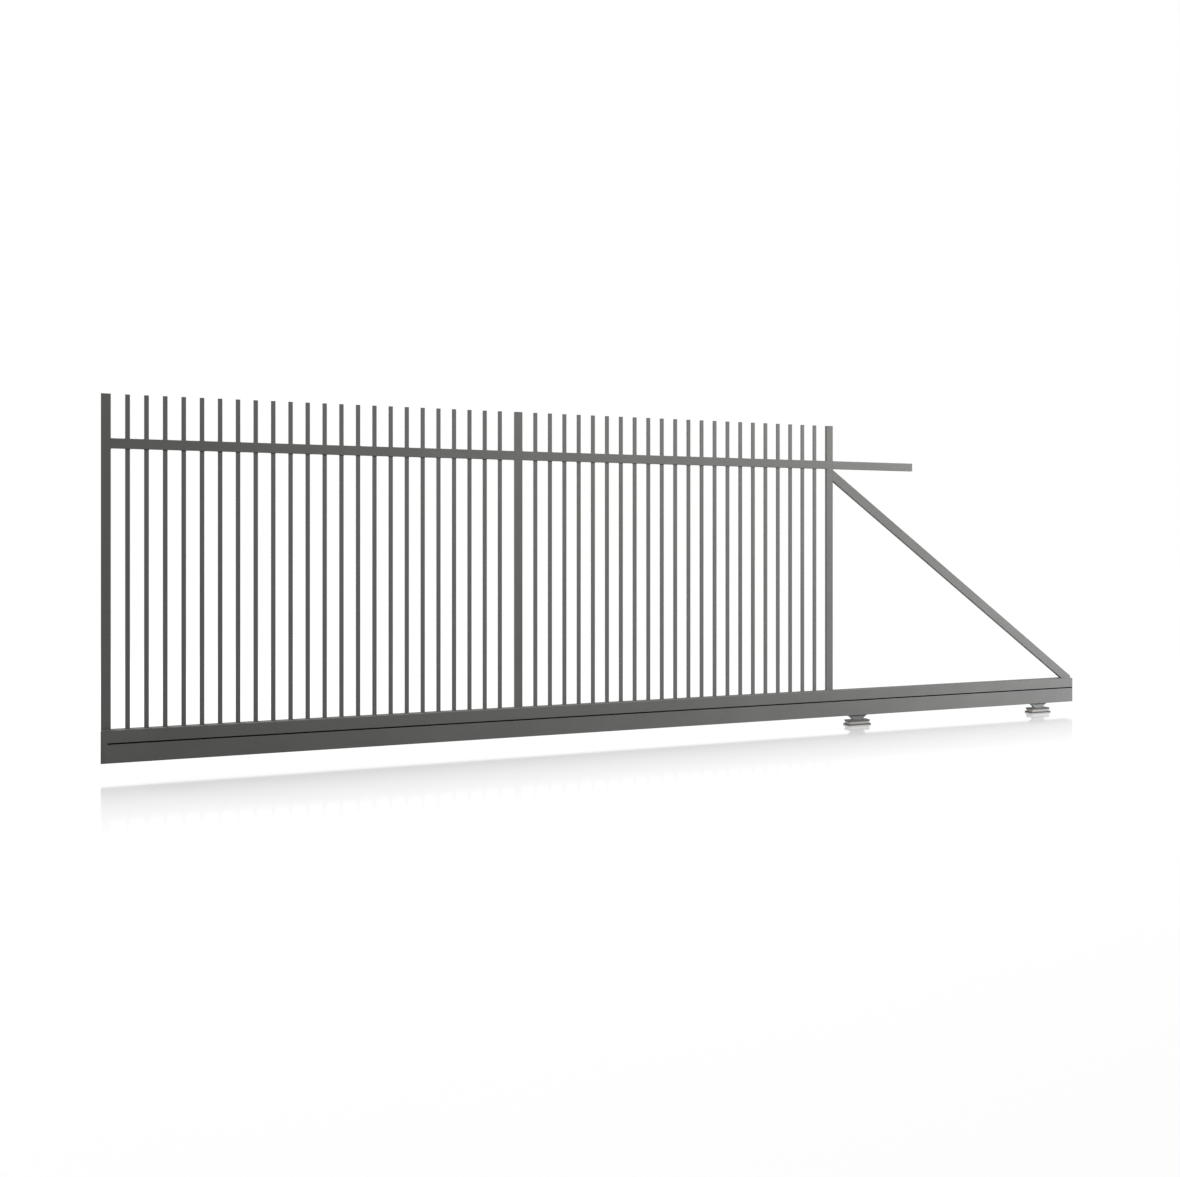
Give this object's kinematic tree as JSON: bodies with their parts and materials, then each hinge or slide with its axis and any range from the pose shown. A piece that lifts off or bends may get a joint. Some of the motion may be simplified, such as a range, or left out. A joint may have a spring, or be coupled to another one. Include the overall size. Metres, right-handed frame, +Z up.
{
  "type": "self-supporting sliding gate",
  "caption": "Self-supporting sliding gate: a leaf of upright bars and stiles with a braced tail, whose bottom guide rail slides over fixed roller carriages.",
  "frame": {"origin": "middle of the underside of the front carriage's anchor plate, on the foundation", "axes": "+X along the gate towards the tail and the way the leaf opens, Y through the gate, +Z up"},
  "size_m": [5.542, 0.06, 1.708],
  "materials": {
    "powder_coated_aluminium": "anthracite fine-texture powder coat on aluminium tube",
    "end_cap_plastic": "moulded dark grey plastic cap",
    "joint_seal": "black strip in the joint",
    "carriage_steel": "grey-brown painted steel plate",
    "web_paint": "anthracite paint on steel plate, matched to the leaf",
    "spacer_steel": "zinc-plated steel plate",
    "axle_steel": "turned steel",
    "roller_nylon": "dark cast nylon"
  },
  "bodies": {
    "carriages": {"front_anchor_plate": "carriage_steel", "front_spacer_plate": "spacer_steel", "front_carriage_plate": "carriage_steel", "front_carriage_web": "web_paint", "front_carriage_axles": "axle_steel", "front_carriage_wheels": "roller_nylon", "rear_anchor_plate": "carriage_steel", "rear_spacer_plate": "spacer_steel", "rear_carriage_plate": "carriage_steel", "rear_carriage_web": "web_paint", "rear_carriage_axles": "axle_steel", "rear_carriage_wheels": "roller_nylon"},
    "leaf": {"guide_rail": "powder_coated_aluminium", "guide_rail_tail_cap": "powder_coated_aluminium", "joint_strip": "joint_seal", "leading_end_block": "powder_coated_aluminium", "bottom_member": "powder_coated_aluminium", "bottom_member_tail_cap": "powder_coated_aluminium", "left_stile": "powder_coated_aluminium", "middle_stile": "powder_coated_aluminium", "right_stile": "powder_coated_aluminium", "stile_caps": "end_cap_plastic", "left_bay_bars": "powder_coated_aluminium", "left_bay_bar_caps": "end_cap_plastic", "right_bay_bars": "powder_coated_aluminium", "right_bay_bar_caps": "end_cap_plastic", "left_bay_top_rail": "powder_coated_aluminium", "right_bay_top_rail": "powder_coated_aluminium", "tail_top_rail": "powder_coated_aluminium", "tail_top_rail_cap": "powder_coated_aluminium", "diagonal_brace": "powder_coated_aluminium"}
  },
  "joints": [
    {"name": "leaf_slide", "type": "slide", "parent": "carriages", "child": "leaf", "axis": [1, 0, 0], "range_m": [0, 3.7]}
  ]
}
